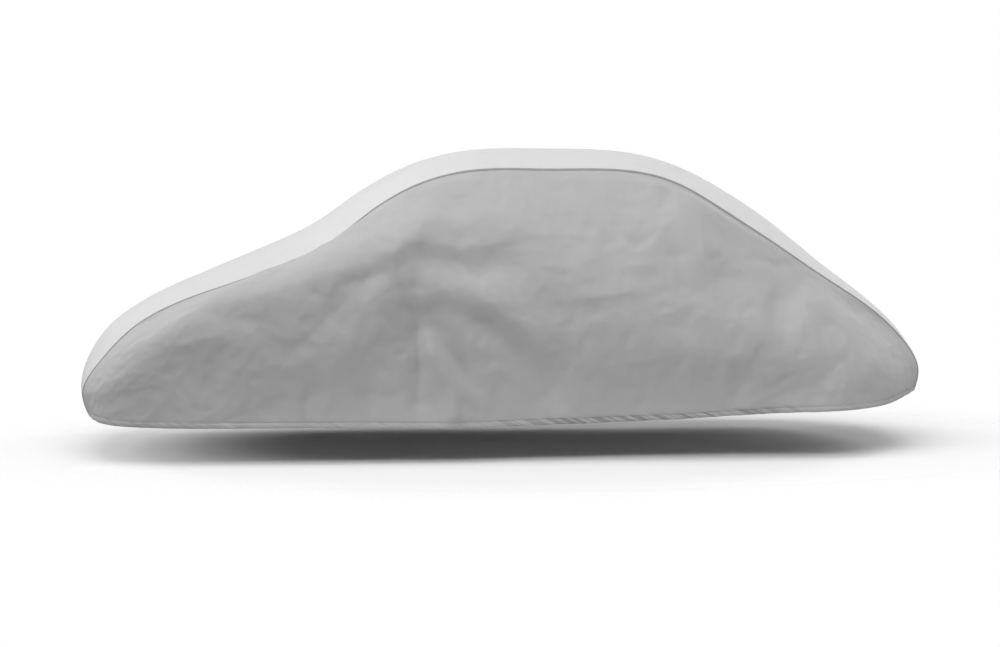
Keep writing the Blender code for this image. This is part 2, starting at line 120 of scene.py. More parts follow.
LEFT_FOLDS = (
    # shoulder line from the tent point towards the nose, a trough under it, two low ridges on the nose
    (0.021, 0.075, 0.130, 1.6, 1.0, 0.0,
     ((-0.77, 0.94), (-0.90, 0.90), (-1.10, 0.85), (-1.35, 0.77), (-1.58, 0.68))),
    (-0.010, 0.045, 0.040, 1.6, 0.1, 0.5, ((-1.06, 0.79), (-0.93, 0.82), (-0.82, 0.85))),
    (0.005, 0.035, 0.070, 1.5, 0.0, 0.0, ((-1.50, 0.60), (-1.65, 0.56), (-1.80, 0.51))),
    (0.005, 0.050, 0.060, 1.4, 0.2, 0.2, ((-1.87, 0.51), (-1.93, 0.46), (-1.98, 0.39), (-2.00, 0.30))),
    # belt ridge from the tent point back, with a second one over it, and the trough under it
    (0.011, 0.090, 0.045, 1.5, 0.6, 0.0,
     ((-0.75, 0.98), (-0.60, 0.98), (-0.48, 0.97), (-0.35, 0.98), (-0.20, 1.01), (0.05, 1.02),
      (0.32, 1.06))),
    (0.005, 0.080, 0.035, 1.6, 0.0, 0.0, ((-0.44, 1.00), (-0.30, 1.03), (-0.15, 1.05))),
    (-0.011, 0.060, 0.080, 1.7, 0.8, 0.0,
     ((-0.74, 0.92), (-0.60, 0.905), (-0.45, 0.88), (-0.28, 0.86), (-0.08, 0.87))),
    # large ridge from the tent point back and down towards the hem, and the trough inside it
    (0.014, 0.065, 0.060, 1.7, 0.5, 0.5,
     ((-0.72, 0.83), (-0.60, 0.79), (-0.45, 0.77), (-0.32, 0.70), (-0.20, 0.61), (-0.09, 0.47),
      (0.03, 0.28))),
    (-0.027, 0.060, 0.060, 1.7, 0.3, 0.8,
     ((-0.54, 0.67), (-0.42, 0.64), (-0.30, 0.56), (-0.19, 0.45), (-0.08, 0.32))),
    # upright ridge below the tent point, two troughs in front of it and one behind it
    (0.030, 0.050, 0.055, 1.6, 0.1, 1.0,
     ((-0.655, 0.62), (-0.62, 0.52), (-0.57, 0.42), (-0.53, 0.33), (-0.51, 0.22))),
    (-0.014, 0.050, 0.080, 1.5, 0.0, 0.0, ((-0.75, 0.77), (-0.72, 0.69), (-0.70, 0.60), (-0.69, 0.46))),
    (-0.027, 0.060, 0.040, 1.5, 0.2, 0.8, ((-0.70, 0.76), (-0.68, 0.64), (-0.67, 0.48), (-0.675, 0.28))),
    (-0.027, 0.055, 0.045, 1.6, 0.6, 0.2, ((-0.61, 0.67), (-0.56, 0.56), (-0.49, 0.44), (-0.42, 0.33))),
    # ridge that falls from the tent point in front of those, with a short crease beside it
    (0.013, 0.060, 0.060, 1.6, 0.5, 0.0, ((-0.80, 0.86), (-0.85, 0.76), (-0.86, 0.64), (-0.84, 0.50))),
    (0.006, 0.022, 0.025, 1.4, 1.0, 0.0, ((-0.78, 0.91), (-0.77, 0.84), (-0.74, 0.78))),
    # slanting trough and ridge behind the nose, and two low ridges in front of them
    (-0.009, 0.050, 0.060, 1.6, 0.3, 0.2, ((-0.92, 0.80), (-1.00, 0.73), (-1.09, 0.64), (-1.20, 0.54))),
    (0.008, 0.110, 0.060, 1.7, 0.2, 0.1, ((-0.89, 0.70), (-0.95, 0.59), (-1.03, 0.47), (-1.14, 0.36))),
    (0.004, 0.025, 0.030, 1.4, 0.0, 0.0, ((-1.31, 0.55), (-1.36, 0.48), (-1.40, 0.39))),
    (0.005, 0.050, 0.050, 1.7, 0.0, 0.0, ((-1.12, 0.50), (-1.20, 0.44), (-1.27, 0.36))),
    # pleats between the seam and the tent point
    (0.007, 0.040, 0.070, 1.5, 0.3, 0.6, ((-0.59, 1.17), (-0.62, 1.09), (-0.68, 1.02), (-0.75, 0.96))),
    (-0.006, 0.014, 0.018, 1.4, 0.2, 0.3, ((-0.93, 1.04), (-0.88, 1.01), (-0.82, 0.97))),
    (0.005, 0.030, 0.020, 1.5, 0.2, 0.3, ((-0.89, 1.07), (-0.84, 1.03), (-0.78, 0.98))),
    (-0.006, 0.045, 0.060, 1.7, 0.1, 0.1, ((-0.45, 1.22), (-0.50, 1.13), (-0.56, 1.06))),
    # fuller cloth below the seam, at the front and the rear of the top
    (0.022, 0.150, 0.080, 1.8, 0.2, 0.1, ((-0.86, 0.96), (-0.64, 1.06), (-0.45, 1.10), (-0.12, 1.12))),
    (0.018, 0.160, 0.080, 1.8, 0.0, 0.0, ((0.20, 1.06), (0.42, 1.04), (0.62, 0.96), (0.78, 0.84))),
    (0.028, 0.190, 0.130, 1.8, 0.7, 0.0, ((0.44, 1.22), (0.54, 1.09), (0.62, 0.95), (0.68, 0.76))),
    # small creases low on the front half
    (0.004, 0.015, 0.030, 1.3, 0.2, 0.2, ((-0.41, 0.435), (-0.35, 0.44), (-0.27, 0.41))),
    (-0.006, 0.025, 0.020, 1.4, 0.1, 0.3, ((-0.48, 0.30), (-0.44, 0.26), (-0.42, 0.21))),
    (0.006, 0.030, 0.030, 1.5, 0.1, 0.2, ((-0.43, 0.33), (-0.38, 0.28), (-0.35, 0.22))),
    (0.003, 0.012, 0.012, 1.4, 0.0, 0.0, ((-0.28, 0.24), (-0.23, 0.235), (-0.17, 0.24))),
    (0.006, 0.035, 0.035, 1.6, 0.0, 0.2, ((-0.47, 0.57), (-0.42, 0.53), (-0.36, 0.49))),
    (-0.006, 0.025, 0.035, 1.5, 0.1, 0.5, ((-0.90, 0.36), (-0.88, 0.28), (-0.87, 0.21))),
    (0.005, 0.035, 0.030, 1.6, 0.1, 0.5, ((-0.76, 0.34), (-0.74, 0.27), (-0.73, 0.21))),
    # creases and soft ridges in the middle
    (0.009, 0.050, 0.028, 1.4, 0.1, 0.0,
     ((-0.10, 0.74), (0.05, 0.735), (0.18, 0.75), (0.32, 0.765), (0.43, 0.76))),
    (0.003, 0.016, 0.022, 1.4, 0.0, 0.0, ((0.08, 0.655), (0.14, 0.65), (0.20, 0.66))),
    (0.008, 0.100, 0.050, 1.6, 0.1, 0.1, ((0.48, 1.12), (0.42, 0.99), (0.33, 0.88), (0.20, 0.78))),
    (-0.006, 0.060, 0.060, 1.7, 0.1, 0.0, ((0.28, 1.12), (0.22, 1.02), (0.13, 0.95))),
    (0.006, 0.070, 0.050, 1.7, 0.0, 0.1, ((0.10, 0.58), (0.12, 0.42), (0.14, 0.26))),
    (0.007, 0.090, 0.060, 1.8, 0.0, 0.0, ((0.36, 0.54), (0.50, 0.52), (0.66, 0.51), (0.80, 0.54))),
    # wide low ridge above the hem, and short creases in the rear half
    (0.012, 0.120, 0.120, 1.8, 0.0, 0.0, ((-0.10, 0.40), (0.20, 0.42), (0.50, 0.44), (0.80, 0.46))),
    (0.004, 0.018, 0.018, 1.4, 0.0, 0.0, ((0.73, 0.84), (0.78, 0.85), (0.82, 0.88))),
    (0.004, 0.030, 0.022, 1.4, 0.0, 0.0, ((0.94, 0.80), (0.91, 0.74), (0.86, 0.68))),
    (0.007, 0.050, 0.045, 1.7, 0.0, 0.0, ((0.66, 0.46), (0.76, 0.47), (0.86, 0.46))),
    (-0.006, 0.045, 0.045, 1.7, 0.0, 0.0, ((0.70, 0.37), (0.80, 0.37), (0.88, 0.39))),
    (0.005, 0.030, 0.030, 1.6, 0.0, 0.2, ((0.95, 0.30), (0.85, 0.26), (0.76, 0.23))),
    # tail: upright trough and ridge, a slanting trough above the hem, and two ridges down to the corner
    (-0.015, 0.050, 0.080, 1.5, 0.1, 0.1, ((0.93, 0.56), (0.95, 0.64), (0.97, 0.72), (1.01, 0.82))),
    (0.010, 0.090, 0.060, 1.8, 0.0, 0.0, ((1.12, 0.78), (1.10, 0.66), (1.02, 0.54))),
    (-0.011, 0.055, 0.080, 1.7, 0.1, 0.1,
     ((1.33, 0.52), (1.24, 0.44), (1.13, 0.36), (1.00, 0.30), (0.82, 0.26))),
    (0.016, 0.080, 0.120, 1.8, 0.2, 0.4, ((1.06, 0.78), (1.20, 0.69), (1.34, 0.60), (1.44, 0.50))),
    (0.005, 0.050, 0.040, 1.7, 0.0, 0.0, ((1.40, 0.50), (1.38, 0.40), (1.30, 0.31))),
)
RIGHT_FOLDS = (
    # shoulder line, then the folds that fall from the tent point, from front to rear
    (0.012, 0.035, 0.060, 1.7, 1.0, 0.2,
     ((-0.77, 0.94), (-1.02, 0.890), (-1.26, 0.825), (-1.48, 0.755), (-1.70, 0.660), (-1.86, 0.54))),
    (0.014, 0.100, 0.080, 1.8, 0.7, 0.5, ((-0.84, 0.87), (-0.95, 0.68), (-1.10, 0.48), (-1.22, 0.29))),
    (-0.011, 0.050, 0.045, 1.7, 0.6, 0.5, ((-0.78, 0.88), (-0.82, 0.64), (-0.86, 0.44), (-0.88, 0.25))),
    (0.012, 0.048, 0.050, 1.6, 0.5, 0.5, ((-0.72, 0.86), (-0.72, 0.62), (-0.74, 0.42), (-0.75, 0.25))),
    (-0.010, 0.055, 0.050, 1.7, 0.4, 0.4, ((-0.67, 0.82), (-0.60, 0.62), (-0.52, 0.42), (-0.46, 0.27))),
    (0.015, 0.075, 0.075, 1.8, 0.6, 0.3,
     ((-0.72, 0.90), (-0.46, 0.80), (-0.24, 0.66), (-0.08, 0.48), (0.08, 0.27))),
    (-0.008, 0.045, 0.040, 1.6, 0.1, 0.2, ((-0.36, 0.60), (-0.22, 0.46), (-0.12, 0.28))),
    # belt ridge and the trough under it, creases behind them, and a pleat below the seam
    (0.010, 0.060, 0.050, 1.6, 0.2, 0.0, ((-0.70, 0.97), (-0.42, 1.02), (-0.10, 1.03), (0.36, 1.00))),
    (-0.009, 0.045, 0.050, 1.7, 0.6, 0.0, ((-0.72, 0.93), (-0.48, 0.93), (-0.20, 0.95), (0.18, 0.94))),
    (0.006, 0.045, 0.024, 1.4, 0.0, 0.0, ((0.06, 0.84), (0.26, 0.785), (0.44, 0.75), (0.60, 0.69))),
    (0.008, 0.060, 0.050, 1.7, 0.0, 0.0, ((0.64, 1.00), (0.72, 0.84), (0.80, 0.62))),
    (0.007, 0.032, 0.030, 1.5, 0.2, 0.4, ((-0.97, 1.04), (-0.88, 0.99), (-0.80, 0.95))),
    # slanting trough and ridge at the tail
    (-0.011, 0.055, 0.060, 1.8, 0.0, 0.0, ((1.30, 0.64), (1.16, 0.50), (1.02, 0.40), (0.88, 0.30))),
    (0.008, 0.045, 0.045, 1.7, 0.1, 0.1, ((1.24, 0.48), (1.10, 0.36), (0.96, 0.26))),
)
SEAM_FADE = 0.060            # folds die out over this distance from the seam
END_FADE = 0.10              # and over this share of the panel's length at the nose and the tail
CORNER_FADE = 0.02           # crumples and gathers die out over this share of its length there
TOP_FADE = 0.12              # share of a section over which its shift to the seam's line dies out
INSET = 8                    # cells in from the panel's edge at which its slope beside the seam is read
SEAM_ROUNDS = 300            # rounds of smoothing for the way across the seam

NOISE_CELLS = 128            # the noise repeats after this many bumps
CRUMPLE_BEND = 0.35          # how far the noise bends the crumples' places, in crumples
BEND_SIZE = 2.2              # size of those bends, in crumples
# Crumples: size, height, how creased they are, seed.
PANEL_CRUMPLES = (
    (0.340, 0.0095, 0.0, 11),
    (0.170, 0.0072, 0.3, 12),
    (0.085, 0.0034, 0.5, 13),
    (0.040, 0.0010, 0.6, 14),
)
STRIP_CRUMPLES = (
    (0.200, 0.0014, 0.0, 21),
    (0.090, 0.0008, 0.5, 22),
    (0.040, 0.0005, 0.6, 23),
    (0.022, 0.00020, 0.6, 24),
)

# Places in the noise where the cloth of each piece starts, along and across it.
PANEL_START = {"left": 3.0, "right": 9.0}
PANEL_START_DOWN = 5.0
STRIP_START = 2.0
STRIP_START_ACROSS = 4.0
STRIP_SIDES_APART = 6.0      # between the puckers at its two seams
STRIP_SEAM_FADE = 0.045      # the strip's crumples die out over this distance from the seam
# The panel's cloth places run on where it curls in at the nose and the tail: share of the way in,
# distance from the middle over which that sets in, and the half-width from which it counts.
CURL = 0.4
CURL_LENGTH = 0.8
CURL_FROM = 0.76

# Gathers that the hem's elastic draws in: soft waves in the mesh, with creases in the material as bumps and
# as painted shade.
GATHER_HEIGHT = 0.0016
GATHER_PITCH = 0.055         # from one gather to the next along the hem
GATHER_SLANT = 0.025         # height over which a gather leans by one pitch
GATHER_LEAST = 0.25          # share of full gathering at the front and at the tail
GATHERS_GROW = (-0.5, 0.6)   # x from which they grow to the full, and the length that this takes
GATHERS_DIE = (0.75, 0.5)    # x from which they fall back again, and the length that this takes
GATHERS_TOP = (0.004, 0.010)     # how far below the stitch line they start to fade, and over what height
GATHER_WAVES = (0.6, 0.15, 7.0, 31)      # waves to a gather, wave length across, start in the noise, seed

# Puckers at right angles to the seam.
PUCKER_HEIGHT = 0.0013
PUCKER_RISE = 0.010          # they rise over this distance from the seam
PUCKER_FALL = 0.050          # and die out over this distance beyond it
PUCKER_WAVES = (0.030, 0.12, 3.0, 32)    # width, length, start in the noise, seed

# The turned hem's edge, its stitch line and the cloth above it.
HEM_TOP = (0.001, 0.004)     # how far below the stitch line the hem starts to thin, and over what height
EDGE_SHARE = 0.75            # share of the thickness that is drawn in at the very edge
EDGE_ROUND = 0.0026          # distance from the edge over which it is rounded
GROOVE_DEPTH = 0.0018        # groove that the stitches pull in
GROOVE_DROP = 0.0025         # how far it lies below the stitch line
GROOVE_WIDTH = 0.0035
BELLY_HEIGHT = 0.0022        # fullness of the turned edge below the groove
BELLY_PLACE = 0.012          # its distance from the hem's edge
BELLY_REACH = 0.014

# One half of the tape's outer face, from its core out over the cloth and back to its crest:
# distance from the seam, and height over the cloth.
TAPE_BAND = (
    (0.0050, 0.0001),
    (0.0065, 0.0001),
    (0.0068, 0.0005),
    (0.0060, 0.0009),
    (0.0030, 0.0013),
    (0.0, 0.0014),
)
TAPE_WAVES = (0.10, 0.02, 0.5, 41)       # share of its width, wave length, start in the noise, seed

# Stitches: from one to the next, length, radius of the thread.
SEAM_STITCH = (0.0060, 0.0045, 0.0004)
HEM_STITCH = (0.0075, 0.0055, 0.0005)
SEAM_STITCH_ROWS = (("upper", -0.0040), ("lower", 0.0040))   # with their distance from the seam
SEAM_STITCH_LIFT = 0.0013    # the rows lie this far over the cloth, on the tape
HEM_STITCH_LIFT = 0.0002
# Rings of a stitch: place along it as a share of its length, and radius and lift as shares of the thread's.
STITCH_RINGS = ((-0.5, 0.45, -0.6), (-0.30, 1.0, 0.10), (0.30, 1.0, 0.10), (0.5, 0.45, -0.6))
READ_STEP = 0.001            # half the distance over which a stitch's heading is read

# ---------------------------------------------------------------- colours and finishes
# Cloths: colour, roughness, how far the shade varies, strength of the crumples in the material.
PALE_CLOTH = ((0.54, 0.54, 0.543), 0.85, 0.03, 0.5)
GREY_CLOTH = ((0.38, 0.38, 0.38), 0.88, 0.035, 0.5)
# Others: colour, roughness.
TAPE = ((0.26, 0.26, 0.26), 0.8)
THREAD = ((0.30, 0.30, 0.30), 0.7)
FLOOR = ((0.82, 0.82, 0.82), 0.9)
# Noises of the cloth: scale, detail, roughness.
CLOUDS = (14.0, 4.0, 0.6)
FIBRES = (420.0, 3.0, 0.6)
GRAIN = (700.0, 2.0, 0.5)
FINE_CRUMPLES = (38.0, 4.0, 0.55)
BOND_SCALE = 420.0           # the cloth's bonded points
BOND_SHARE = 0.6
SHADE_RANGE = (0.3, 0.7)     # values of the noise that give the darkest and the palest shade
# Bumps: strength, distance. The crumples' strength is the cloth's own.
GRAIN_BUMP = (0.5, 0.00012)
CRUMPLE_DEPTH = 0.0012
GATHER_BUMP = (1.0, 0.003)
CREASE_WIDTH = 0.07          # how far from its middle value the noise still makes a crease
# painted shade: the hem's gather creases are painted darker in the cloth's colour by this share
CREASE_PAINTED_SHADE = 0.35          # how much darker the cloth is in a crease
RIB_SCALE = 260.0            # ribs of the tape
RIB_DISTORTION = 0.4
RIB_BUMP = (0.6, 0.0002)

# ---------------------------------------------------------------- camera, light, floor
IMAGE_WIDTH = 1000           # pixels
FOCAL_PIXELS = 2125.7        # focal length in pixels
SENSOR = 36.0                # width of the sensor in millimetres
CAMERA_PLACE = (-1.180, -10.169, -0.146)
CAMERA_PITCH = 3.889         # degrees down
CAMERA_YAW = 5.292           # degrees to the right
# Lights: name, place, the place that it points at, width and height, power in watts.
LIGHTS = (
    ("top", (-0.3, -1.5, 5.5), (-0.3, 0.0, -0.6), (9.0, 3.5), 320.0),
    ("high", (-0.5, -6.5, 5.5), (0.0, 0.0, -0.6), (8.0, 3.0), 402.0),
    ("left", (-14.0, -5.8, 1.7), (-0.5, 0.0, -0.8), (5.4, 5.4), 1000.0),
    ("tail", (4.5, -3.6, -0.8), (1.5, 0.0, -1.1), (2.0, 1.0), 75.0),
    ("far_left", (-8.0, 6.0, 3.0), (-0.5, 0.0, -0.8), (4.0, 4.0), 420.0),
    ("far_right", (8.0, 6.0, 3.0), (0.5, 0.0, -0.8), (4.0, 4.0), 480.0),
)
SURROUND = 1.0               # how bright the camera sees the surround
FILL_LIGHT = 0.01            # how much light the surround gives
FLOOR_REACH = (3.4, 2.2)     # along and across the cover
FLOOR_RINGS = 48
FLOOR_SPOKES = 96
FLOOR_FADE = (0.35, 0.98)    # shares of its reach between which it fades into the surround
FLOOR_THICK = 100.0          # large, so that height doesn't count in that


# ---------------------------------------------------------------- curves and grids
def unit(vectors):
    return vectors / np.linalg.norm(vectors, axis=-1, keepdims=True)


def fade(share):
    """1 at a share of 0, falling smoothly to 0 at a share of 1 and beyond."""
    share = np.clip(share, 0.0, 1.0)
    return 1.0 - share * share * (3.0 - 2.0 * share)


def spline(knots, points, places):
    """Natural cubic spline that passes each point at its knot, read at the given places."""
    points = np.asarray(points, float)
    steps = np.diff(knots)
    slopes = np.diff(points, axis=0) / steps[:, None]
    matrix = np.eye(len(knots))
    bends = np.zeros_like(points)
    for i in range(1, len(knots) - 1):
        matrix[i, i - 1:i + 2] = (steps[i - 1], 2.0 * (steps[i - 1] + steps[i]), steps[i])
        bends[i] = 6.0 * (slopes[i] - slopes[i - 1])
    bends = np.linalg.solve(matrix, bends)
    cell = np.clip(np.searchsorted(knots, places) - 1, 0, len(steps) - 1)
    step = steps[cell][:, None]
    high = (places - knots[cell])[:, None]
    low = step - high
    cubic = (bends[cell] * low ** 3 + bends[cell + 1] * high ** 3) / (6.0 * step)
    start = points[cell] / step - bends[cell] * step / 6.0
    end = points[cell + 1] / step - bends[cell + 1] * step / 6.0
    return cubic + start * low + end * high


def knots_of(lines):
    """Knots from 0 to 1 for lines of as many points each, spaced as the points are on average."""
    lines = np.asarray(lines, float)
    steps = np.linalg.norm(np.diff(lines, axis=1), axis=2).sum(axis=0)
    knots = np.concatenate(([0.0], np.cumsum(steps)))
    return knots / knots[-1]


def run_of(grid, axis):
    """Distance run along the rows or the columns of a grid of points."""
    steps = np.linalg.norm(np.diff(grid, axis=axis), axis=-1)
    start = np.zeros_like(np.take(steps, [0], axis=axis))
    return np.concatenate((start, np.cumsum(steps, axis=axis)), axis=axis)


def grid_normals(grid):
    """Unit normals of a grid of points, averaged from the faces that meet at each point."""
    faces = np.cross(grid[1:, 1:] - grid[:-1, :-1], grid[:-1, 1:] - grid[1:, :-1])
    faces = unit(faces)
    normals = np.zeros_like(grid)
    for i in (0, 1):
        for j in (0, 1):
            normals[i:i + len(faces), j:j + faces.shape[1]] += faces
    return unit(normals)


# ---------------------------------------------------------------- the right half of the surface
def shares_down(length):
    """Shares of a section's length from the seam down, the last cells lying in the turned hem."""
    stitch_line = 1.0 - HEM_DEPTH / length
    return np.append(np.linspace(0.0, stitch_line, PANEL_ROWS + 1), 1.0 - np.array(HEM_STEPS) / length)


def line_length(points):
    return np.linalg.norm(np.diff(points, axis=0), axis=1).sum()


def seam_line():
    """The seam's points from front hem to rear hem, and the strip's rise at each."""
    table = np.array(SEAM)
    knots = knots_of([table[:, :3]])
    nose, tail = knots[EDGE_ROWS], knots[-1 - EDGE_ROWS]
    nose_length = line_length(table[:EDGE_ROWS + 1, :3])
    tail_length = line_length(table[-1 - EDGE_ROWS:, :3])
    over = np.linspace(nose, tail, PANEL_COLUMNS + 1)
    places = np.concatenate((
        nose * (1.0 - shares_down(nose_length)[::-1]),
        over[1:-1],
        tail + (1.0 - tail) * shares_down(tail_length),
    ))
    line = spline(knots, table, places)
    return line[:, :3], line[:, 3]


def panel_sections():
    """Sections of the side panel as four points each, with the seam's ends as first and last."""
    seam = np.array(SEAM)[:, :3]
    nose = seam[EDGE_ROWS::-1]
    tail = seam[-1 - EDGE_ROWS:]
    tops = seam[EDGE_ROWS + 1:-1 - EDGE_ROWS]
    between = [np.vstack((top, row)) for top, row in zip(tops, SECTIONS)]
    return np.array([nose, *between, tail])


def side_surface(edge):
    """Grid of the side panel, whose nose, seam and tail edges follow the given line."""
    sections = panel_sections()
    along = knots_of(sections.transpose(1, 0, 2))
    across = knots_of(sections)
    shares = np.linspace(0.0, 1.0, PANEL_COLUMNS + 1)
    lines = np.array([spline(along, sections[:, i], shares) for i in range(sections.shape[1])])
    grid = np.array([spline(across, points, shares_down(line_length(points)))
                     for points in lines.transpose(1, 0, 2)])
    rows = grid.shape[1]
    nose = edge[:rows][::-1] - grid[0]
    tail = edge[-rows:] - grid[-1]
    top = edge[rows - 1:len(edge) - rows + 1] - grid[:, 0]
    by_nose = fade(shares / END_FADE)[:, None, None]
    by_tail = fade((1.0 - shares) / END_FADE)[:, None, None]
    by_top = fade(np.linspace(0.0, 1.0, rows) / TOP_FADE)[None, :, None]
    grid = grid + by_nose * nose + by_tail * tail + by_top * top[:, None]
    return grid - by_top * (by_nose * top[0] + by_tail * top[-1])


def seam_frames(seam, rise):
    """Along the seam: the strip's middle line, the way across the seam, and the way outward."""
    tangent = unit(np.gradient(seam, axis=0))
    flat = np.hypot(tangent[:, 0], tangent[:, 2])
    middle = seam * (1.0, 0.0, 1.0)
    middle[:, 0] -= rise * tangent[:, 2] / flat
    middle[:, 2] += rise * tangent[:, 0] / flat
    grid = side_surface(seam)
    inner = np.concatenate((
        grid[INSET, :0:-1],
        grid[[INSET], INSET],
        grid[1:-1, INSET],
        grid[[-1 - INSET], INSET],
        grid[-1 - INSET, 1:],
    ))
    # the strip is a parabola across, so at its edge it falls twice as steeply as its chord
    from_strip = (seam - middle) * (2.0, 1.0, 2.0)
    across = unit(from_strip) + unit(inner - seam)
    for _ in range(SEAM_ROUNDS):
        across[1:-1] = (across[:-2] + 2.0 * across[1:-1] + across[2:]) / 4.0
    across -= tangent * np.sum(across * tangent, axis=1, keepdims=True)
    across = unit(across)
    return middle, across, np.cross(tangent, across)


# ---------------------------------------------------------------- folds and crumples
def ease(share):
    """1 at a share of 0 and 0 at a share of 1, with level ends that have no bend."""
    return 1.0 - share ** 3 * (10.0 - 15.0 * share + 6.0 * share * share)


def soft_noise(u, v, seed):
    """Smooth gradient noise, about -1 to 1, over places u and v with bumps of size 1."""
    angles = np.random.default_rng(seed).uniform(0.0, 2.0 * math.pi, (NOISE_CELLS, NOISE_CELLS))
    i, j = np.floor(u).astype(int), np.floor(v).astype(int)
    s, t = u - i, v - j
    total = np.zeros_like(u)
    for di in (0, 1):
        for dj in (0, 1):
            angle = angles[(i + di) % NOISE_CELLS, (j + dj) % NOISE_CELLS]
            ramp = np.cos(angle) * (s - di) + np.sin(angle) * (t - dj)
            total += ramp * ease(np.abs(s - di)) * ease(np.abs(t - dj))
    return 1.5 * total


def crumple_heights(u, v, crumples):
    """Heights of the crumples over cloth places u and v, in metres."""
    total = np.zeros_like(u)
    for size, height, creased, seed in crumples:
        bend_places = (u / size / BEND_SIZE, v / size / BEND_SIZE)
        bend_u = CRUMPLE_BEND * soft_noise(*bend_places, seed + 100)
        bend_v = CRUMPLE_BEND * soft_noise(*bend_places, seed + 200)
        noise = soft_noise(u / size + bend_u, v / size + bend_v, seed)
        ridged = 0.6 - 2.0 * np.abs(noise)
        total += height * ((1.0 - creased) * noise + creased * ridged)
    return total


def fold_heights(x, z, folds):
    """How far the folds push the cloth outward at places x, z, square to the side."""
    places = np.stack((x, z), axis=-1)
    from_tent = np.linalg.norm(places - TENT_POINT, axis=-1)
    total = TENT_HEIGHT * np.exp(-(from_tent / TENT_WIDTH) ** TENT_SHARPNESS)
    for height, left, right, sharpness, at_start, at_end, points in folds:
        path = spline(knots_of([points]), points, np.linspace(0.0, 1.0, PATH_POINTS))
        heading = unit(np.gradient(path, axis=0))
        nearest = np.zeros(x.shape, int)
        gap = np.full(x.shape, np.inf)
        for i, point in enumerate(path):
            closer = np.linalg.norm(places - point, axis=-1)
            nearest = np.where(closer < gap, i, nearest)
            gap = np.minimum(gap, closer)
        away = places - path[nearest]
        turn = heading[nearest][..., 0] * away[..., 1] - heading[nearest][..., 1] * away[..., 0]
        along = np.sum(heading[nearest] * away, axis=-1)
        end = (nearest == 0) | (nearest == len(path) - 1)
        gap = np.where(end, gap, np.abs(turn))
        share = (nearest / (len(path) - 1.0)) + np.where(end, 0.0, along / line_length(path))
        width = right + (left - right) * (0.5 + 0.5 * np.tanh(turn / FOLD_SIDES))
        lift = 1.0 - (1.0 - at_start) * fade(share / FOLD_END)
        lift = lift - (1.0 - at_end) * fade((1.0 - share) / FOLD_END)
        gap = np.sqrt(gap ** 2 + FOLD_CREST ** 2)
        total += height * lift * np.exp(-(gap / width) ** sharpness)
    return total


def gather_strength(x, from_hem):
    """Share of full gathering at places on the hem band: strongest in the rear half of the side."""
    growing = 1.0 - fade((x - GATHERS_GROW[0]) / GATHERS_GROW[1])
    dying = fade((x - GATHERS_DIE[0]) / GATHERS_DIE[1])
    along = GATHER_LEAST + (1.0 - GATHER_LEAST) * growing * dying
    return along * fade((from_hem - HEM_DEPTH + GATHERS_TOP[0]) / GATHERS_TOP[1])


def gather_places(run, from_hem):
    """Places counted across the slanting gathers, which the hem's elastic draws in."""
    return run / GATHER_PITCH + from_hem / GATHER_SLANT


def gather_heights(run, from_hem, x):
    """Soft slanting waves of the gathered hem."""
    per_gather, length, start, seed = GATHER_WAVES
    waves = soft_noise(gather_places(run, from_hem) * per_gather, from_hem / length + start, seed)
    return GATHER_HEIGHT * waves * gather_strength(x, from_hem)


def pucker_heights(run, from_seam):
    """Small gathers at right angles to the seam."""
    width, length, start, seed = PUCKER_WAVES
    waves = soft_noise(run / width, from_seam / length + start, seed)
    inside = fade((from_seam - PUCKER_RISE) / PUCKER_FALL) * (1.0 - fade(from_seam / PUCKER_RISE))
    return PUCKER_HEIGHT * waves * inside


# ---------------------------------------------------------------- building meshes
def add_mesh(name, vertices, faces, material, maps=None):
    """A smooth piece, from points whose heights are above the ground."""
    vertices = np.array(vertices, float) - (0.0, 0.0, ORIGIN_HEIGHT)
    mesh = bpy.data.meshes.new(name)
    mesh.from_pydata(vertices.tolist(), [], [list(face) for face in faces])
    mesh.materials.append(material)
    mesh.shade_smooth()
    corners = np.empty(len(mesh.loops), np.int32)
    mesh.loops.foreach_get("vertex_index", corners)
    for label, places in (maps or {}).items():
        layer = mesh.uv_layers.new(name=label)
        layer.data.foreach_set("uv", np.asarray(places, np.float32)[corners].ravel())
    piece = bpy.data.objects.new(name, mesh)
    bpy.context.collection.objects.link(piece)
    return piece


def sheet_faces(columns, rows):
    """Faces of a closed sheet between two grids of points, the outer one first."""
    layer = columns * rows
    index = np.arange(layer).reshape(columns, rows)
    quads = np.stack((index[:-1, :-1], index[1:, :-1], index[1:, 1:], index[:-1, 1:]), axis=-1)
    quads = quads.reshape(-1, 4)
    rim = np.concatenate((index[:-1, 0], index[-1, :-1], index[:0:-1, -1], index[0, :0:-1]))
    after = np.roll(rim, -1)
    sides = np.stack((after, rim, rim + layer, after + layer), axis=-1)
    return np.concatenate((quads, quads[:, ::-1] + layer, sides))


def closed_sheet(name, grid, normals, thickness, round_off, side, material, maps):
    """A sheet of the given thickness under a grid of points, its edge rounded where round_off says."""
    drawn_in = (thickness * round_off / 2.0)[..., None]
    outer = grid - normals * drawn_in
    inner = grid - normals * (thickness[..., None] - drawn_in)
    vertices = np.concatenate((outer.reshape(-1, 3), inner.reshape(-1, 3)))
    faces = sheet_faces(*grid.shape[:2])
    if side < 0.0:
        vertices = vertices * (1.0, -1.0, 1.0)
        faces = faces[:, ::-1]
    maps = {label: np.concatenate((places.reshape(-1, 2),) * 2) for label, places in maps.items()}
    return add_mesh(name, vertices, faces, material, maps)


def edge_rounding(from_edge):
    """Share of the thickness that is drawn in at a distance from a cut or turned edge."""
    return EDGE_SHARE * fade(np.sqrt(np.clip(from_edge / EDGE_ROUND, 0.0, 1.0)))


